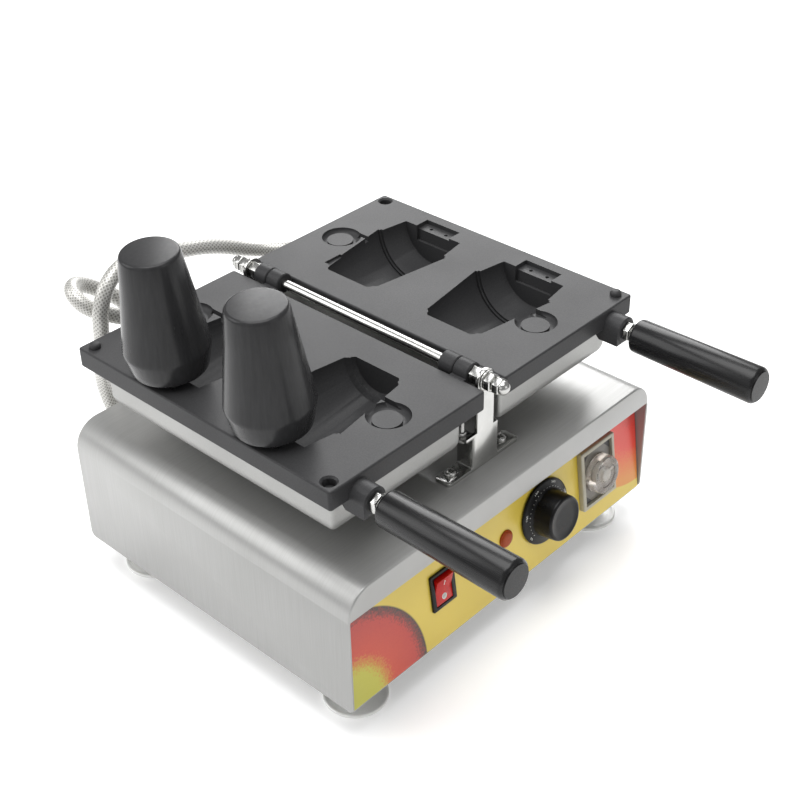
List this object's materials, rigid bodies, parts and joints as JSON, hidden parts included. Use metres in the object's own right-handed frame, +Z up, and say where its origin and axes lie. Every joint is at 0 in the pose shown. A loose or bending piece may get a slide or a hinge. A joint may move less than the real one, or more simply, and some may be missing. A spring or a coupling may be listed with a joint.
{
  "type": "cup waffle maker",
  "caption": "Countertop waffle cup maker: hinged cast mould irons with fold-down cup cores over a steel casing with a sloping control panel.",
  "frame": {"origin": "centre of the bounding box at the table surface, under the feet", "axes": "+X along the control panel to the right, +Y from the control panel to the back, +Z up; the irons' hinge shaft lies along Y"},
  "size_m": [0.3514, 0.491, 0.3142],
  "materials": {
    "steel": "brushed stainless steel",
    "polished": "polished steel",
    "plated": "zinc plated steel",
    "iron": "non-stick coated casting, satin",
    "core": "non-stick coated casting, satin",
    "cover": "satin aluminium",
    "bakelite": "black moulded plastic",
    "black_plastic": "black plastic",
    "red_plastic": "red translucent plastic",
    "film": "printed film",
    "lamp": "amber lens",
    "grey_plastic": "grey plastic",
    "dark_plastic": "dark grey plastic",
    "clear_plastic": "clear plastic",
    "braid": "braided stainless steel",
    "wool": "ceramic wool",
    "ceramic": "insulating block",
    "brass": "brass"
  },
  "bodies": {
    "base": {"casing_shell": "steel", "base_plate": "plated", "base_screws": "plated", "back_panel": "steel", "control_panel": "plated", "panel_overlay": "film", "feet": "polished", "foot_stems": "black_plastic", "hinge_bracket_front": "polished", "hinge_bracket_back": "polished", "stop_bolt_front": "plated", "stop_bolt_back": "plated", "bracket_screws": "polished", "hinge_shaft": "polished", "shaft_washers": "polished", "shaft_nuts": "polished", "hose_outlets": "brass", "mains_inlet": "black_plastic", "terminal_block": "ceramic", "switch_housing": "black_plastic", "buzzer": "black_plastic", "pilot_lamp": "lamp", "thermostat_body": "ceramic", "timer_frame": "grey_plastic", "timer_face": "dark_plastic", "timer_body": "dark_plastic", "right_hose": "braid", "left_hose": "braid"},
    "right_iron": {"right_mould_plate": "iron", "right_locating_peg": "iron", "right_heater_cover": "cover", "right_cover_screws": "plated", "right_heater": "steel", "right_insulation": "wool", "right_handle_rod": "plated", "right_handle_nut": "polished", "right_handle_grip": "bakelite", "right_grip_cap": "bakelite", "right_iron_gland": "brass"},
    "left_iron": {"left_mould_plate": "iron", "left_locating_peg": "iron", "left_heater_cover": "cover", "left_cover_screws": "plated", "left_heater": "steel", "left_insulation": "wool", "left_handle_rod": "plated", "left_handle_nut": "polished", "left_handle_grip": "bakelite", "left_grip_cap": "bakelite", "left_iron_gland": "brass", "left_sensor_bulb": "plated", "core_hinge_leaves": "plated", "core_leaf_screws": "plated", "core_pins": "plated"},
    "front_core_body": {"front_core": "core"},
    "back_core_body": {"back_core": "core"},
    "rocker": {"switch_rocker": "red_plastic"},
    "thermostat_dial": {"thermostat_knob": "black_plastic", "thermostat_stem": "plated"},
    "timer_dial": {"timer_knob": "clear_plastic"}
  },
  "joints": [
    {"name": "right_iron_hinge", "type": "hinge", "parent": "base", "child": "right_iron", "pos_m": [0.00066, 0.05285, 0.2105], "axis": [0, 1, 0], "range_deg": [-180, 0]},
    {"name": "left_iron_hinge", "type": "hinge", "parent": "base", "child": "left_iron", "pos_m": [0.00066, 0.05285, 0.2105], "axis": [0, 1, 0], "range_deg": [0, 130]},
    {"name": "front_core_hinge", "type": "hinge", "parent": "left_iron", "child": "front_core_body", "pos_m": [-0.14284, -0.00115, 0.2115], "axis": [0, 1, 0], "range_deg": [0, 94]},
    {"name": "back_core_hinge", "type": "hinge", "parent": "left_iron", "child": "back_core_body", "pos_m": [-0.14284, 0.10685, 0.2115], "axis": [0, 1, 0], "range_deg": [0, 94]},
    {"name": "rocker_tilt", "type": "hinge", "parent": "base", "child": "rocker", "pos_m": [-0.07184, -0.09087, 0.07341], "axis": [1, 0, 0], "range_deg": [-16, 0]},
    {"name": "thermostat_turn", "type": "hinge", "parent": "base", "child": "thermostat_dial", "pos_m": [0.04786, -0.09246, 0.07361], "axis": [0, -0.9917, 0.1288], "range_deg": [-270, 0]},
    {"name": "timer_turn", "type": "hinge", "parent": "base", "child": "timer_dial", "pos_m": [0.11566, -0.09246, 0.07361], "axis": [0, -0.9917, 0.1288], "range_deg": [-300, 0]}
  ],
  "couplings": [
    {"joint": "front_core_hinge", "follows": "right_iron_hinge", "ratio": -0.52222},
    {"joint": "back_core_hinge", "follows": "right_iron_hinge", "ratio": -0.52222}
  ]
}
